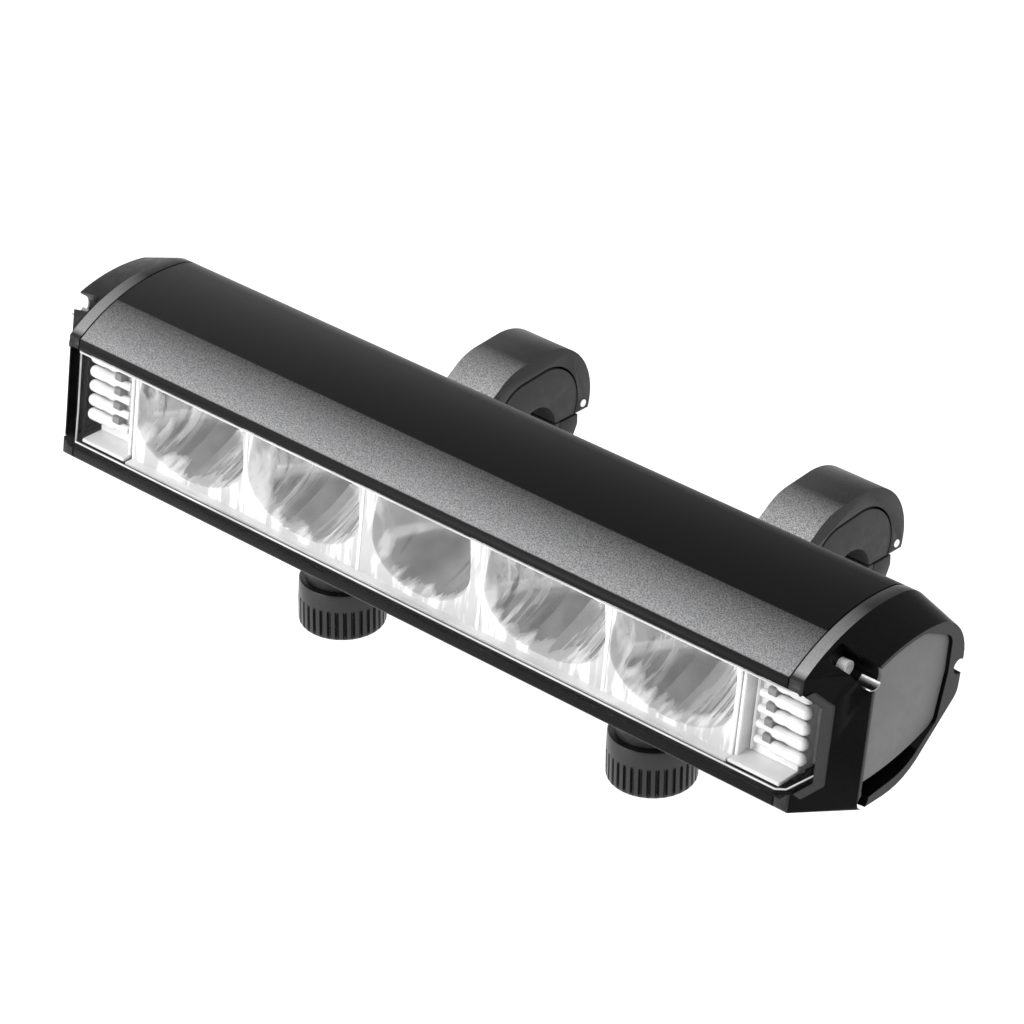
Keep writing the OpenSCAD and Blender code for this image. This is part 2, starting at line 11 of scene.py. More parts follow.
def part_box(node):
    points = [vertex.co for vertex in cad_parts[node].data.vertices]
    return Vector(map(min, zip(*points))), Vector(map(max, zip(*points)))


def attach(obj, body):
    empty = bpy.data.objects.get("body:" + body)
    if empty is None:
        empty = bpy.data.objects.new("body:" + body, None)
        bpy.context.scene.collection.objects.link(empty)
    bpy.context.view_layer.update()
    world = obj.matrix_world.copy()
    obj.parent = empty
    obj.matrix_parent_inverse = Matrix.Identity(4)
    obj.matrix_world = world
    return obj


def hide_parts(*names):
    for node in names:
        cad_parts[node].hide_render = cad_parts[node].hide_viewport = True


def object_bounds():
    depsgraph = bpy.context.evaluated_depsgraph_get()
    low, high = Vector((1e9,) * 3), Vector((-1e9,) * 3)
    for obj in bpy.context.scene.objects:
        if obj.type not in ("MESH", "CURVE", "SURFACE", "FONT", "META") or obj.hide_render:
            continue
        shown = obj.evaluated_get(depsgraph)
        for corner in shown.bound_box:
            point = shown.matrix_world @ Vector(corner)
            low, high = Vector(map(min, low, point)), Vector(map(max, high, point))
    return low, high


MM = 0.001

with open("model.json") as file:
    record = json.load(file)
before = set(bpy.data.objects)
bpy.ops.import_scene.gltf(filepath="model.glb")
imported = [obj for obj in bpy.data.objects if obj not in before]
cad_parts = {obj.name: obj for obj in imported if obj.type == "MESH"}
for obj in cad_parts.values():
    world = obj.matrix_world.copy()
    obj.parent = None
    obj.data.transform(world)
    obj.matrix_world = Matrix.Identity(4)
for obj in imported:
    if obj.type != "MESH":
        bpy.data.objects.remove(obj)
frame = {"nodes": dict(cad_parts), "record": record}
CAD_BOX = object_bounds()


def corner(node, which):
    """Lowest (0) or highest (1) corner of a CAD node, in metres."""
    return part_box(node)[which]


# The bar's own origin: the foot of the lens face, level with the housing's underside. The
# housing starts a little behind it.
HOUSING_SETBACK = 0.215
BAR_Y = corner("housing", 0).y - HOUSING_SETBACK * MM
BAR_Z = corner("housing", 0).z
HOUSING_X = corner("housing", 1).x
BAR_X = corner("end_cap_right", 1).x


def bar(x, y, z):
    """A point given in the bar's own millimetres, in the frame's metres."""
    return Vector((x * MM, BAR_Y + y * MM, BAR_Z + z * MM))


# ---------------------------------------------------------------- camera

AZIMUTH, ELEVATION, ROLL = 42.61, 30.0, 0.54
FOCAL_MM = 163.2
DISTANCE = 1.6326
AIM = bar(54.8, 0, 69.1)


def make_camera():
    az, el, roll = (math.radians(a) for a in (AZIMUTH, ELEVATION, ROLL))
    back = Vector((math.sin(az) * math.cos(el), -math.cos(az) * math.cos(el), math.sin(el)))
    right = Vector((math.cos(az), math.sin(az), 0))
    up = back.cross(right)
    x_axis = right * math.cos(roll) + up * math.sin(roll)
    y_axis = up * math.cos(roll) - right * math.sin(roll)
    data = bpy.data.cameras.new("camera")
    data.lens = FOCAL_MM
    data.sensor_width = 36
    data.clip_end = 20
    camera = bpy.data.objects.new("camera", data)
    camera.matrix_world = Matrix.Translation(AIM + back * DISTANCE) @ Matrix(
        (x_axis, y_axis, back)).transposed().to_4x4()
    bpy.context.collection.objects.link(camera)
    bpy.context.scene.camera = camera


# ---------------------------------------------------------------- materials

BOWLS = 5
LEAN = math.radians(7)
FACE_LEAN = math.tan(LEAN)


def reflector_frame():
    """Pitch, low and high edge and foot of the leaning front, in the bar's millimetres."""
    low, high = corner("reflector", 0), corner("reflector", 1)
    pitch = (high.x - low.x) / MM / BOWLS
    z0, z1 = ((v.z - BAR_Z) / MM for v in (low, high))
    return pitch, z0, z1, (low.y - BAR_Y) / MM - z0 * FACE_LEAN


class Nodes:
    """A short way to write a material's node tree."""

    def __init__(self, name):
        self.material = bpy.data.materials.new(name)
        self.material.use_nodes = True
        self.tree = self.material.node_tree
        self.shader = self.tree.nodes["Principled BSDF"]
        self.coords = self.tree.nodes.new("ShaderNodeTexCoord").outputs["Object"]

    def put(self, socket, value):
        if isinstance(value, bpy.types.NodeSocket):
            self.tree.links.new(value, socket)
        elif isinstance(value, (tuple, list)) and len(value) == 3 and len(socket.default_value) == 4:
            socket.default_value = (*value, 1)
        else:
            socket.default_value = value

    def node(self, kind, out=0, **inputs):
        node = self.tree.nodes.new(kind)
        for key, value in inputs.items():
            if key.startswith("in"):
                self.put(node.inputs[int(key[2:])], value)
            else:
                setattr(node, key, value)
        return node.outputs[out]

    def math(self, operation, a, b=0.0):
        return self.node("ShaderNodeMath", operation=operation, in0=a, in1=b)

    def noise(self, scale, detail=2.0, stretch=(1, 1, 1)):
        """Noise from 0 to 1. scale is features per metre."""
        coords = self.node("ShaderNodeMapping", in0=self.coords, in3=stretch)
        node = self.tree.nodes.new("ShaderNodeTexNoise")
        self.put(node.inputs["Vector"], coords)
        node.inputs["Scale"].default_value = scale
        node.inputs["Detail"].default_value = detail
        return node.outputs[0]

    def ramp(self, value, low, high, to_low=0.0, to_high=1.0):
        node = self.tree.nodes.new("ShaderNodeMapRange")
        node.clamp = True
        for socket, item in zip(node.inputs, (value, low, high, to_low, to_high)):
            self.put(socket, item)
        return node.outputs[0]

    def axis(self, index):
        return self.node("ShaderNodeSeparateXYZ", out=index, in0=self.coords)

    def blend(self, factor, a, b):
        node = self.tree.nodes.new("ShaderNodeMix")
        node.data_type = "RGBA"
        self.put(node.inputs[0], factor)
        self.put(node.inputs[6], a)
        self.put(node.inputs[7], b)
        return node.outputs[2]

    def bump(self, height, strength, distance):
        node = self.tree.nodes.new("ShaderNodeBump")
        node.inputs["Strength"].default_value = strength
        node.inputs["Distance"].default_value = distance
        self.put(node.inputs["Height"], height)
        return node.outputs[0]

    def finish(self, **sockets):
        names = {"color": "Base Color", "rough": "Roughness", "metal": "Metallic",
                 "specular": "Specular IOR Level", "normal": "Normal", "alpha": "Alpha",
                 "coat": "Coat Weight", "emission": "Emission Color",
                 "glow": "Emission Strength"}
        for key, value in sockets.items():
            self.put(self.shader.inputs[names[key]], value)
        return self.material


def surface(name, color, rough, metal=0.0, specular=0.5, tone=0.2, grain=0.0, grain_size=0.4,
            stretch=(1, 1, 1), **more):
    """Base colour with slow tonal drift and, where grain is set, a fine bumpy texture.

    grain is the bump's depth and grain_size its feature size, both in millimetres.
    """
    n = Nodes(name)
    drift = n.ramp(n.noise(60, 3), 0.3, 0.7)
    shade = tuple(c * (1 - tone) for c in color)
    color_out = n.blend(drift, shade, color)
    rough_out = n.ramp(n.noise(240, 2), 0.3, 0.7, rough * 0.85, min(1, rough * 1.15))
    sockets = {"color": color_out, "rough": rough_out, "metal": metal, "specular": specular}
    if grain:
        fine = n.noise(1000 / grain_size, 2, stretch)
        sockets["color"] = n.blend(n.ramp(fine, 0.35, 0.65), shade, color_out)
        sockets["normal"] = n.bump(fine, 0.6, grain * MM)
    sockets.update(more)
    return n.finish(**sockets)


# Heights and depths on the bar's outline, in its own millimetres.
BAND_BACK = 26.0
LIP_TOP = 50.4


def bar_axes(n):
    """The y and z of a point on the bar, in the bar's own millimetres."""
    return (n.ramp(n.axis(1), BAR_Y, BAR_Y + 0.1, 0, 100),
            n.ramp(n.axis(2), BAR_Z, BAR_Z + 0.1, 0, 100))


def housing_material():
    """Black powder coat, with a coarse grey anti-glare band behind the lens's brow; the band's grey is
    painted lighter at its front and darker towards its back, as painted light.
    """
    n = Nodes("housing_paint")
    y_mm, z_mm = bar_axes(n)
    band = n.math("MULTIPLY", n.ramp(y_mm, BAND_BACK, BAND_BACK + 0.4, 1, 0),
                  n.ramp(z_mm, LIP_TOP, LIP_TOP + 0.3))
    coarse = n.noise(2100, 2)
    speck = n.ramp(coarse, 0.36, 0.64)
    # Painted light: the band's grey runs from light at its front to dark at its back, standing in for
    # the front light on its curve
    front_lit_shading = n.ramp(y_mm, 8, BAND_BACK)
    dark = n.blend(front_lit_shading, (0.125, 0.125, 0.127), (0.022, 0.022, 0.0225))
    light = n.blend(front_lit_shading, (0.3, 0.3, 0.305), (0.07, 0.07, 0.072))
    grey = n.blend(speck, dark, light)
    fine = n.noise(4500, 2)
    black = n.blend(n.ramp(fine, 0.35, 0.65), (0.002, 0.002, 0.0021), (0.005, 0.005, 0.0052))
    height = n.blend(band, fine, coarse)
    return n.finish(color=n.blend(band, black, grey), metal=0.0,
                    rough=n.ramp(band, 0, 1, 0.38, 0.55),
                    specular=0.09, normal=n.bump(height, 0.5, 0.08 * MM))


def frame_material():
    """Dark satin metal, with a painted highlight where it meets the brow; dark over the top and the
    chin.
    """
    n = Nodes("end_frame_metal")
    y_mm, z_mm = bar_axes(n)
    brush = n.noise(900, 3, (12, 1, 1))
    # Painted highlight: a bright, more metallic colour over the front of the top near the brow, fading
    # towards the back
    brow_highlight = n.math("MULTIPLY", n.ramp(y_mm, 9, 44, 1, 0), n.ramp(z_mm, 51, 52.5))
    bright = n.blend(n.ramp(brush, 0.3, 0.7), (0.3, 0.3, 0.305), (0.5, 0.5, 0.505))
    return n.finish(color=n.blend(brow_highlight, (0.02, 0.02, 0.0205), bright),
                    metal=n.ramp(brow_highlight, 0, 1, 0.5, 1.0), rough=n.ramp(brush, 0.3, 0.7, 0.3, 0.42),
                    specular=0.2, normal=n.bump(brush, 0.3, 0.03 * MM))


def cap_material():
    """Satin black paint, with a painted sheen: a little greyer on the flat rim round the end panel."""
    n = Nodes("cap_paint")
    fine = n.noise(2200, 2)
    # Painted sheen: the flat end rim is painted a lighter grey, standing in for light on that face
    rim = n.ramp(n.math("ABSOLUTE", n.axis(0)), BAR_X - 0.35 * MM, BAR_X - 0.05 * MM)
    black = n.blend(n.ramp(fine, 0.35, 0.65), (0.0015, 0.0015, 0.0016), (0.004, 0.004, 0.0041))
    grey = n.blend(n.ramp(fine, 0.35, 0.65), (0.035, 0.035, 0.0355), (0.05, 0.05, 0.0505))
    return n.finish(color=n.blend(rim, black, grey), rough=n.ramp(n.noise(240, 2), 0.3, 0.7, 0.3, 0.4),
                    specular=0.06, normal=n.bump(fine, 0.6, 0.03 * MM))


def clamp_material():
    """Cast metal in a grainy coat, with a painted highlight: bright and coarse on its front, dark over
    the top.
    """
    n = Nodes("clamp_coat")
    coarse = n.noise(2800, 2)
    speck = n.ramp(coarse, 0.36, 0.64)
    # Painted highlight: the coat's specks are painted bright over the ring's front, fading towards the
    # top and away from faces turned along X
    front = n.math("MULTIPLY", n.ramp(n.axis(1), -32 * MM, -5 * MM, 1, 0),
                   n.ramp(n.axis(1), -44 * MM, -34 * MM))
    front = n.math("MULTIPLY", front, n.ramp(n.axis(2), 0, 8 * MM))
    turned = n.node("ShaderNodeSeparateXYZ", in0=n.coords.node.outputs["Normal"])
    front = n.math("MULTIPLY", front, n.ramp(n.math("ABSOLUTE", turned), 0.3, 0.8, 1, 0))
    dark = n.blend(front, (0.015, 0.015, 0.0155), (0.2, 0.2, 0.202))
    light = n.blend(front, (0.04, 0.04, 0.041), (0.9, 0.9, 0.905))
    return n.finish(color=n.blend(speck, dark, light), metal=0.6, rough=0.42, specular=0.3,
                    normal=n.bump(coarse, 0.6, 0.09 * MM))


def lens_material():
    """Clear polycarbonate with a thin gloss."""
    n = Nodes("lens_clear")
    smudge = n.ramp(n.noise(40, 2), 0.35, 0.7, 0.03, 0.08)
    return n.finish(color=(0.12, 0.12, 0.122), rough=smudge, alpha=0.05, specular=0.25)


def reflector_material():
    """Metallised bowls: clear grey in the middle; at the sides, painted streaks of reflection and
    shadow along the flutes; a painted white reflection at the front.
    """
    n = Nodes("reflector_metal")
    y_mm, z_mm = bar_axes(n)
    depth = n.math("SUBTRACT", y_mm, n.math("MULTIPLY", z_mm, FACE_LEAN))
    # Painted reflection: the front of the moulding near the lens, behind a wavy edge, is painted white
    # and made almost non-metallic
    wave = n.math("MULTIPLY", n.ramp(n.noise(170, 3, (1, 0.2, 0.25)), 0.35, 0.65), 7.0)
    foot = n.ramp(n.math("SUBTRACT", depth, wave), 6.5, 9.5, 1, 0)
    # Place across a bowl, from 0 at its left slat to 1 at its right one
    pitch = reflector_frame()[0]
    bowls = n.math("DIVIDE", n.math("ADD", n.axis(0), BOWLS * pitch * MM / 2), pitch * MM)
    across = n.math("FRACT", bowls)
    edge = n.math("ABSOLUTE", n.math("SUBTRACT", across, 0.42))
    middle = n.ramp(n.math("ABSOLUTE", n.math("SUBTRACT", bowls, BOWLS / 2)), 0.45, 0.5)
    # Painted reflection and shadow: pale streaks along the flutes of the side bowls, and dark streaks
    # of painted shadow
    streaks = n.noise(420, 3, (1, 0.05, 0.12))
    glint_streaks = n.math("MULTIPLY", n.ramp(streaks, 0.5, 0.57), n.ramp(edge, 0.1, 0.26))
    painted_glare = n.math("MAXIMUM", foot, n.math("MULTIPLY", glint_streaks, middle))
    cloud = n.ramp(n.noise(110, 4), 0.3, 0.7)
    shadow = n.math("MULTIPLY", n.ramp(streaks, 0.36, 0.42, 1, 0), n.ramp(edge, 0.12, 0.3))
    grey = n.blend(cloud, (0.5, 0.5, 0.505), (0.68, 0.68, 0.685))
    grey = n.blend(shadow, grey, (0.22, 0.22, 0.223))
    # The white of the painted reflection, with veins through it
    veins = n.ramp(n.noise(230, 4, (1, 0.3, 0.2)), 0.46, 0.6)
    white = n.blend(veins, (0.5, 0.5, 0.503), (0.88, 0.88, 0.88))
    return n.finish(color=n.blend(painted_glare, grey, white),
                    metal=n.ramp(painted_glare, 0, 1, 0.7, 0.1), rough=n.ramp(painted_glare, 0, 1, 0.24, 0.35))


MATERIALS = {}


def make_materials():
    MATERIALS.update({
        "housing": housing_material(),
        "end_frame": frame_material(),
        "lens": lens_material(),
        "end_cap": cap_material(),
        "end_panel": surface("panel_paint", (0.13, 0.13, 0.13), 0.5, specular=0.3, tone=0.06,
                             grain=0.01, grain_size=0.25),
        "clamp": clamp_material(),
        "liner": surface("liner_rubber", (0.045, 0.045, 0.046), 0.6, specular=0.2, grain=0.03),
        "seal": surface("seal_rubber", (0.006, 0.006, 0.006), 0.6, specular=0.3, grain=0.02),
        "reflector": reflector_material(),
        "marker": surface("marker_white", (0.84, 0.84, 0.84), 0.2, tone=0.25, coat=0.5),
        "board_white": surface("board_white", (0.8, 0.8, 0.78), 0.3, tone=0.05),
        "board_green": surface("board_green", (0.01, 0.09, 0.03), 0.35, tone=0.2),
        "components": surface("component_black", (0.02, 0.02, 0.022), 0.5, tone=0.2),
        "chip": surface("chip_grey", (0.2, 0.2, 0.2), 0.4, tone=0.3),
        "led": surface("led_phosphor", (0.85, 0.62, 0.1), 0.25, tone=0.1),
        "gland": surface("gland_nylon", (0.012, 0.012, 0.012), 0.45, grain=0.02),
        "bezel": surface("bezel_paint", (0.035, 0.035, 0.036), 0.45, specular=0.3, grain=0.05,
                         grain_size=0.4, tone=0.5),
        "edge_glint": surface("edge_glint", (0.7, 0.7, 0.7), 0.15, tone=0.3),
        # Painted glint: the chrome screw heads are coloured near white and made mostly non-metallic,
        # so they show bright as a glint
        "chrome_screws": surface("screw_chrome", (0.9, 0.9, 0.91), 0.1, metal=0.15, tone=0.05),
        "steel_screws": surface("screw_steel", (0.3, 0.3, 0.3), 0.3, metal=1.0, tone=0.15),
        "insert": surface("insert_brass", (0.6, 0.42, 0.16), 0.3, metal=1.0, tone=0.1),
        "hinge_pin": surface("pin_steel", (0.85, 0.85, 0.85), 0.35, metal=0.6, tone=0.05),
        "stud": surface("stud_steel", (0.5, 0.5, 0.5), 0.28, metal=1.0, tone=0.15),
        "knob": surface("knob_plastic", (0.006, 0.006, 0.0062), 0.3, specular=0.45, grain=0.015,
                        grain_size=0.3),
    })


def dress_cad_nodes():
    """Every CAD node takes the material of its slot in the record."""
    for part in frame["record"]["subparts"]:
        node = frame["nodes"][part["node"]]
        node.data.materials.clear()
        node.data.materials.append(MATERIALS[part["material_slot"]])


# ---------------------------------------------------------------- mesh tools


def dress(piece, slot, body, nodes, sharp=35, look=None):
    """Shades a piece, gives it the material of its look or else its slot, ties it to its body and
    hides the CAD nodes it stands in for.
    """
    mesh = piece.data
    mesh.materials.clear()
    mesh.materials.append(MATERIALS[look or slot])
    mesh.polygons.foreach_set("use_smooth", [True] * len(mesh.polygons))
    mesh.set_sharp_from_angle(angle=math.radians(sharp))
    mesh.update()
    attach(piece, body)
    if nodes:
        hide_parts(*nodes)
    return piece


def from_bmesh(name, bm):
    bmesh.ops.recalc_face_normals(bm, faces=bm.faces)
    mesh = bpy.data.meshes.new(name)
    bm.to_mesh(mesh)
    bm.free()
    piece = bpy.data.objects.new(name, mesh)
    bpy.context.collection.objects.link(piece)
    return piece


def add_grid(bm, rows, cols, point, wrap=False):
    """Adds the surface point(i, j) for i < rows, j < cols, closed round j where wrap is set."""
    verts = [[bm.verts.new(point(i, j)) for j in range(cols)] for i in range(rows)]
    for i in range(rows - 1):
        for j in range(cols if wrap else cols - 1):
            k = (j + 1) % cols
            bm.faces.new((verts[i][j], verts[i][k], verts[i + 1][k], verts[i + 1][j]))
    return verts


def softened(name, node, slot, body, bevel=0.4, segments=2, angle=32):
    """A copy of a CAD node with its sharp edges rounded by bevel millimetres."""
    bm = bmesh.new()
    bm.from_mesh(frame["nodes"][node].data)
    bmesh.ops.remove_doubles(bm, verts=bm.verts, dist=1e-6)
    bmesh.ops.dissolve_limit(bm, angle_limit=math.radians(0.5), verts=bm.verts, edges=bm.edges)
    sharp = [e for e in bm.edges if len(e.link_faces) == 2
             and e.calc_face_angle(0) > math.radians(angle)]
    bmesh.ops.bevel(bm, geom=sharp, offset=bevel * MM, offset_type="OFFSET", segments=segments,
                    profile=0.5, affect="EDGES", clamp_overlap=True, harden_normals=False)
    bmesh.ops.remove_doubles(bm, verts=bm.verts, dist=1e-6)
    return dress(from_bmesh(name, bm), slot, body, [node])


# ---------------------------------------------------------------- knobs

RIBS = 34
RIB_DEPTH = 1.3
STUD_HOLE = 3.2


def make_knob(side):
    """A ribbed cap with a smooth collar, a rounded foot and a dished underside."""
    node = f"knob_{side}"
    low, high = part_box(node)
    middle = (low + high) / 2
    radius = (high.x - low.x) / 2
    top = (high.z - low.z) / MM
    # (height over the foot, radius less the knob's own, share of rib depth), millimetres
    profile = [(2.6, None, 0), (2.6, -6.2, 0), (0.5, -5.6, 0), (0, -5.0, 0), (0, -1.9, 0),
               (0.25, -1.1, 0), (0.8, -0.5, 0.3), (1.4, -0.15, 0.8), (2.2, 0, 1), (11.4, 0, 1),
               (12.2, 0, 0.85), (12.9, -0.02, 0.5), (13.3, -0.05, 0), (top - 1.0, -0.3, 0),
               (top - 0.3, -0.6, 0), (top, -1.3, 0), (top, None, 0)]
    columns = RIBS * 12
    bm = bmesh.new()

    def point(i, j):
        height, inset, share = profile[i]
        turn = 2 * math.pi * j / columns
        valley = max(0.0, math.cos(RIBS * turn)) ** 0.6
        r = STUD_HOLE * MM if inset is None else radius + inset * MM - RIB_DEPTH * MM * share * valley
        return (middle.x + r * math.cos(turn), middle.y + r * math.sin(turn),
                low.z + height * MM)

    add_grid(bm, len(profile), columns, point, wrap=True)
    # The two inner rims meet round the stud
    rims = [e for e in bm.edges if e.is_boundary]
    bmesh.ops.bridge_loops(bm, edges=rims)
    return dress(from_bmesh(f"{node}_ribbed", bm), "knob", node, [node], sharp=40)


# ---------------------------------------------------------------- optics

# The bowls are wide and low: they curve faster downwards than across, and hardly upwards.
BOWL_FOCUS = 7.6
MIDDLE_FOCUS = 5.4
FLOOR_FOCUS = 2.3
ROOF_SHARE = 0.3
VERTEX_Y = 39.0
FLUTES = 14
FLUTE_TILT = 0.5
LED_PORT = 5.2


def make_reflector():
    """One moulding with five parabolic bowls. All but the middle one have upright facets."""
    pitch, z0, z1, foot = reflector_frame()
    mid_z = (z0 + z1) / 2
    half_z = (z1 - z0) / 2 - 0.15
    per_bowl, rows = FLUTES * 12, 72
    cols = per_bowl * BOWLS + 1
    bm = bmesh.new()

    def point(i, j):
        x = -pitch * BOWLS / 2 + 0.15 + (pitch * BOWLS - 0.3) * j / (cols - 1)
        bowl = min(BOWLS - 1, max(0, int((x + pitch * BOWLS / 2) // pitch)))
        dx = x - (bowl - (BOWLS - 1) / 2) * pitch
        dz = -half_z + 2 * half_z * i / (rows - 1)
        front = foot + (mid_z + dz) * FACE_LEAN + 0.2
        climb = dz * ROOF_SHARE if dz > 0 else dz
        sink = climb * climb / (4 * FLOOR_FOCUS)
        if bowl == BOWLS // 2:
            y = VERTEX_Y - dx * dx / (4 * MIDDLE_FOCUS) - sink
        else:
            facet = (dx / pitch + 0.5) * FLUTES
            low, share = math.floor(facet), facet - math.floor(facet)
            ends = [((low + k) / FLUTES - 0.5) * pitch for k in (0, 1)]
            square = ends[0] ** 2 * (1 - share) + ends[1] ** 2 * share
            y = VERTEX_Y - square / (4 * BOWL_FOCUS) - sink
            fade = min(1, max(0, (y - front) / 6))
            y -= FLUTE_TILT * fade * (share if low % 2 else 1 - share)
        return bar(x, max(front, y), mid_z + dz)

    add_grid(bm, rows, cols, point)
    holes = []
    for face in bm.faces:
        c = face.calc_center_median()
        x, z = c.x / MM, (c.z - BAR_Z) / MM - mid_z
        dx = (x + pitch * BOWLS / 2) % pitch - pitch / 2
        if math.hypot(dx, z) < LED_PORT:
            holes.append(face)
    bmesh.ops.delete(bm, geom=holes, context="FACES")
    piece = from_bmesh("reflector_bowls", bm)
    for poly in piece.data.polygons:
        if poly.normal.y > 0:
            poly.flip()
    return dress(piece, "reflector", "bar", ["reflector"], sharp=12)


def add_block(bm, corners):
    """Adds a block from its eight corners, the low four first, both fours in the same turn."""
    verts = [bm.verts.new(bar(*c)) for c in corners]
    for face in ((3, 2, 1, 0), (4, 5, 6, 7), (0, 1, 5, 4), (1, 2, 6, 5), (2, 3, 7, 6),
                 (3, 0, 4, 7)):
        bm.faces.new([verts[k] for k in face])


def leaning_slab(bm, x0, x1, n0, n1, z0, z1, foot=0.0):
    """Adds a block whose front and back both lean with the lens."""
    corners = []
    for z in (z0, z1):
        lean = foot + z * FACE_LEAN
        corners += [(x0, n0 + lean, z), (x1, n0 + lean, z), (x1, n1 + lean, z), (x0, n1 + lean, z)]
    add_block(bm, corners)


# How far the white sill under the optics reaches forward of them, towards the lens
SILL = 3.6


def make_dividers():
    """White slats between the bowls, and the white shelf and lip along them."""
    pitch, z0, z1, foot = reflector_frame()
    half = pitch * BOWLS / 2
    bm = bmesh.new()
    for i in range(BOWLS + 1):
        x = min(half - 1.2, max(-half + 1.2, -half + pitch * i))
        leaning_slab(bm, x - 1.0, x + 1.0, 0, 20, z0 + 0.3, z1 - 0.3, foot)
        leaning_slab(bm, x - 2.4, x - 1.5, 2.5, 20, z0 + 0.3, z1 - 0.6, foot)
    leaning_slab(bm, -half + 0.3, half - 0.3, -SILL, 4, z0 + 0.1, z0 + 1.4, foot)
    leaning_slab(bm, -half + 0.3, half - 0.3, 0, 3, z1 - 1.6, z1 - 0.1, foot)
    bmesh.ops.bevel(bm, geom=bm.edges[:], offset=0.25 * MM, segments=2, affect="EDGES")
    return dress(from_bmesh("reflector_dividers", bm), "marker", "bar", [])


def leaning(x, n, s):
    """A point n behind the plane of the lens's outer face, s up it."""
    return bar(x, n * math.cos(LEAN) + s * math.sin(LEAN), s * math.cos(LEAN) - n * math.sin(LEAN))


# Lens face: the flat front ends at LENS_FLAT, and its ends turn back by 45 degrees to
# LENS_END. LENS_LOW and LENS_HIGH are measured up the leaning face.
LENS_FLAT, LENS_END = 177.0, 188.0
LENS_LOW, LENS_HIGH = 5.2, 46.4


def on_face(x, s, n=0.0):
    """A point n behind the lens's outer face, s up it."""
    n += max(0.0, abs(x) - LENS_FLAT)
    return leaning(x, n, s)


def add_bead(bm, path, radius, sides=8):
    """Adds a closed round bead along a closed path of points."""
    count = len(path)

    def point(i, j):
        here, before, after = path[i % count], path[i - 1], path[(i + 1) % count]
        along = ((here - before).normalized() + (after - here).normalized()).normalized()
        side = along.cross(Vector((0, -1, 0))).normalized()
        turn = 2 * math.pi * j / sides
        return here + radius * MM * (side * math.cos(turn) + side.cross(along) * math.sin(turn))

    rings = [[bm.verts.new(point(i, j)) for j in range(sides)] for i in range(count)]
    for i in range(count):
        for j in range(sides):
            k = (j + 1) % sides
            a, b = rings[i], rings[(i + 1) % count]
            bm.faces.new((a[j], a[k], b[k], b[j]))


def make_lens_edge_glint():
    """A painted highlight along the lens's edge: a fine bright bead just inside its outline."""
    half = [(LENS_FLAT, LENS_LOW + 2.4), (LENS_END - 8.2, LENS_LOW + 2.4),
            (LENS_END - 0.9, LENS_LOW + 9.3), (LENS_END - 0.9, LENS_HIGH - 5.4),
            (LENS_END - 6.3, LENS_HIGH - 0.9), (LENS_FLAT, LENS_HIGH - 0.9)]
    outline = half + [(-x, s) for x, s in reversed(half)]
    bm = bmesh.new()
    add_bead(bm, [on_face(x, s, 0.75) for x, s in outline], 0.38)
    return dress(from_bmesh("lens_edge_bead", bm), "lens", "bar", [], look="edge_glint")


# An end cap's front starts at CAP_START, CAP_SETBACK behind the lens's face, and slants back
CAP_START, CAP_SETBACK, CAP_SLANT = 183.0, 1.49, 0.976


def on_cap(x, s, lift=0.0):
    """A point on the slanting front of an end cap, or lift millimetres before it."""
    return leaning(x, CAP_SETBACK + (abs(x) - CAP_START) * CAP_SLANT - lift, s)


def make_bezel(side):
    """The raised lip of an end cap round the end of the lens."""
    sign = 1 if side == "right" else -1
    inner = [(183.9, 8.2), (188.5, 12.9), (188.5, 41.6), (184.0, 45.6)]
    outer = [(185.9, 6.2), (191.3, 11.8), (191.3, 42.8), (185.9, 47.6)]
    bm = bmesh.new()
    rows = [[bm.verts.new(on_cap(sign * x, s, lift)) for x, s in line]
            for line, lift in ((inner, -2.5), (inner, 0.9), (outer, 0.9), (outer, -0.3))]
    for i in range(4):
        for j in range(3):
            bm.faces.new((rows[i][j], rows[i][j + 1], rows[(i + 1) % 4][j + 1],
                          rows[(i + 1) % 4][j]))
    for j in (0, 3):
        bm.faces.new([rows[i][j] for i in range(4)])
    bmesh.ops.bevel(bm, geom=bm.edges[:], offset=0.25 * MM, segments=2, affect="EDGES")
    return dress(from_bmesh(f"lens_bezel_{side}", bm), "end_cap", "bar", [], look="bezel")


def make_recess_lining(side):
    """A thin curved steel skin along the lower front wall of the front screw's recess."""
    sign = 1 if side == "right" else -1
    y0, z0, radius, skin = 25.2, 50.4, 4.2, 0.5
    x0, x1, steps = 191.5, 199.6, 28
    bm = bmesh.new()

    def point(i, j):
        turn = math.radians(228 + 97 * j / (steps - 1))
        x, r = ((x0, radius), (x0, radius - skin), (x1, radius - skin), (x1, radius))[i % 4]
        return bar(sign * x, y0 + r * math.cos(turn), z0 + r * math.sin(turn))

    rows = add_grid(bm, 5, steps, point)
    for j in (0, steps - 1):
        bm.faces.new([rows[i][j] for i in range(4)])
    bmesh.ops.remove_doubles(bm, verts=bm.verts, dist=1e-6)
    return dress(from_bmesh(f"recess_lining_{side}", bm), "chrome_screws", "bar", [],
                 look="steel_screws")


# Light rods of a marker: how many, their pitch, and the place of the middle one up the face
RODS, ROD_PITCH, ROD_MIDDLE = 5, 6.0, 28.2


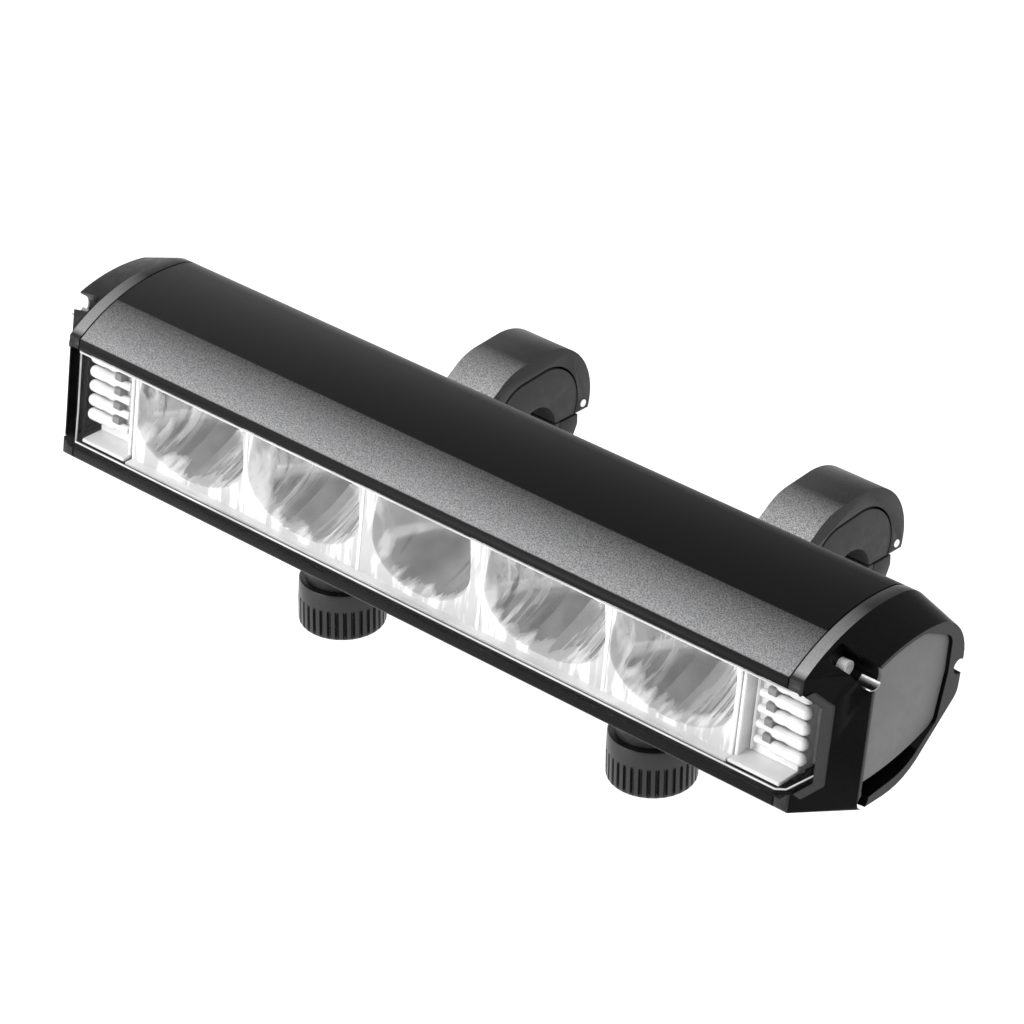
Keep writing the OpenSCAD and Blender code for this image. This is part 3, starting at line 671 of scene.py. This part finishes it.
def make_marker(side):
    """A white tray that opens to the bar's end, with a comb of round-ended light rods."""
    node = f"marker_{side}"
    low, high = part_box(node)
    sign = 1 if side == "right" else -1
    inner = min(abs(low.x), abs(high.x)) / MM
    tip = max(abs(low.x), abs(high.x)) / MM
    z0, z1 = ((v.z - BAR_Z) / MM for v in (low, high))
    foot = (low.y - BAR_Y) / MM - z0 * FACE_LEAN
    bm = bmesh.new()

    def slab(x0, x1, n0, n1, low_z, high_z):
        a, b = sorted((sign * x0, sign * x1))
        leaning_slab(bm, a, b, n0, n1, low_z, high_z, foot)

    wide = HOUSING_X / MM - 0.6
    slab(inner, inner + 1.6, 0, 20, z0, z1)
    slab(inner, wide, -SILL, 20, z0, z0 + 1.4)
    slab(inner, wide, 0, 20, z1 - 1.4, z1)
    slab(inner + 1.5, wide, 6.3, 20, z0 + 1.3, z1 - 1.3)
    slab(inner + 3.2, inner + 4.0, 4.2, 7, z0 + 3, z1 - 3)
    slab(inner + 1.5, tip - 0.2, 14.2, 15, z0 + 1.3, z1 - 1.3)
    bmesh.ops.bevel(bm, geom=bm.edges[:], offset=0.25 * MM, segments=2, affect="EDGES")
    for i in range(RODS):
        s = ROD_MIDDLE + (i - (RODS - 1) / 2) * ROD_PITCH
        add_rod(bm, sign, inner + 5.5, tip, s, 11.3, 2.55)
    return dress(from_bmesh(f"{node}_comb", bm), "marker", "bar", [node])


def add_rod(bm, sign, x0, tip, s, n, radius, sides=24, rounds=8):
    """Adds a light rod along X with a waist, a domed tip and a closed foot."""
    length = tip - x0
    stations = [(0, 0), (0, 0.55), (0.02, 0.62), (0.30, 0.66), (0.36, 0.95), (0.44, 1.0),
                (0.58, 0.86), (0.66, 0.98), (1 - radius / length, 1.0)]
    stations += [(1 - radius / length * (1 - math.sin(math.pi / 2 * k / rounds)),
                  math.cos(math.pi / 2 * k / rounds)) for k in range(1, rounds + 1)]

    def point(i, j):
        share, width = stations[i]
        turn = 2 * math.pi * j / sides
        r = max(radius * width, 0.01)
        return leaning(sign * (x0 + share * length), n + r * math.cos(turn), s + r * math.sin(turn))

    add_grid(bm, len(stations), sides, point, wrap=True)


def make_marker_chips(side):
    """Small grey lamp chips in the valleys between the rods."""
    low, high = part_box(f"marker_{side}")
    sign = 1 if side == "right" else -1
    inner = min(abs(low.x), abs(high.x)) / MM
    bm = bmesh.new()
    for i in range(RODS - 1):
        s = ROD_MIDDLE + (i - (RODS - 2) / 2) * ROD_PITCH
        z = s * math.cos(LEAN) - 10.5 * math.sin(LEAN)
        a, b = sorted((sign * (inner + 9.5), sign * (inner + 13.3)))
        leaning_slab(bm, a, b, 9.3, 13.0, z - 1.45, z + 1.45)
    bmesh.ops.bevel(bm, geom=bm.edges[:], offset=0.2 * MM, segments=2, affect="EDGES")
    return dress(from_bmesh(f"marker_{side}_chips", bm), "components", "bar", [], look="chip")


# ---------------------------------------------------------------- clamps and ends


def make_soft_copies():
    for side in ("left", "right"):
        softened(f"clamp_arm_{side}_cast", f"clamp_arm_{side}", "clamp", "bar", 0.5)
        softened(f"clamp_jaw_{side}_cast", f"clamp_jaw_{side}", "clamp", f"jaw_{side}", 0.5)
        softened(f"upper_liner_{side}_moulded", f"upper_liner_{side}", "liner", "bar", 0.4)
        softened(f"end_cap_{side}_cast", f"end_cap_{side}", "end_cap", "bar", 0.4)
        softened(f"end_frame_{side}_satin", f"end_frame_{side}", "end_frame", "bar", 0.25)
        softened(f"end_panel_{side}_plate", f"end_panel_{side}", "end_panel", "bar", 0.25)
    softened("housing_extruded", "housing", "housing", "bar", 0.3)


# ---------------------------------------------------------------- stage

JAW_DROP = 0.12


def area_light(name, spot, aim, size, power):
    data = bpy.data.lights.new(name, "AREA")
    data.shape = "RECTANGLE"
    data.size, data.size_y = size
    data.energy = power
    light = bpy.data.objects.new(name, data)
    light.location = spot
    light.rotation_euler = (aim - spot).to_track_quat("-Z", "Y").to_euler()
    bpy.context.collection.objects.link(light)


def make_stage():
    # The bar hangs on its tube, so the floor leaves room for the jaws to swing down
    low = CAD_BOX[0][2] - JAW_DROP
    mesh = bpy.data.meshes.new("floor")
    half = 12.0
    mesh.from_pydata([(-half, -half, low), (half, -half, low), (half, half, low),
                      (-half, half, low)], [], [(0, 1, 2, 3)])
    floor = bpy.data.objects.new("floor", mesh)
    bpy.context.collection.objects.link(floor)
    mesh.materials.append(surface("floor_white", (0.93, 0.93, 0.93), 0.9, specular=0.1, tone=0.01,
                                  emission=(1, 1, 1), glow=0.2))

    world = bpy.data.worlds.new("studio")
    bpy.context.scene.world = world
    world.use_nodes = True
    background = world.node_tree.nodes["Background"]
    background.inputs["Color"].default_value = (1, 1, 1, 1)
    background.inputs["Strength"].default_value = 0.9

    centre = bar(0, 40, 30)
    area_light("key", centre + Vector((-0.5, -1.3, 1.2)), centre, (0.9, 0.5), 9)
    area_light("front", centre + Vector((-0.7, -1.6, 0.5)), centre, (0.9, 0.35), 22)
    area_light("rim", centre + Vector((1.4, 0.3, 0.7)), centre, (0.5, 0.5), 4)
    bpy.context.scene.view_settings.view_transform = "Standard"


make_camera()
make_materials()
dress_cad_nodes()
for end in ("left", "right"):
    make_knob(end)
make_reflector()
make_dividers()
make_lens_edge_glint()
for end in ("left", "right"):
    make_marker(end)
    make_marker_chips(end)
    make_bezel(end)
    make_recess_lining(end)
make_soft_copies()
make_stage()
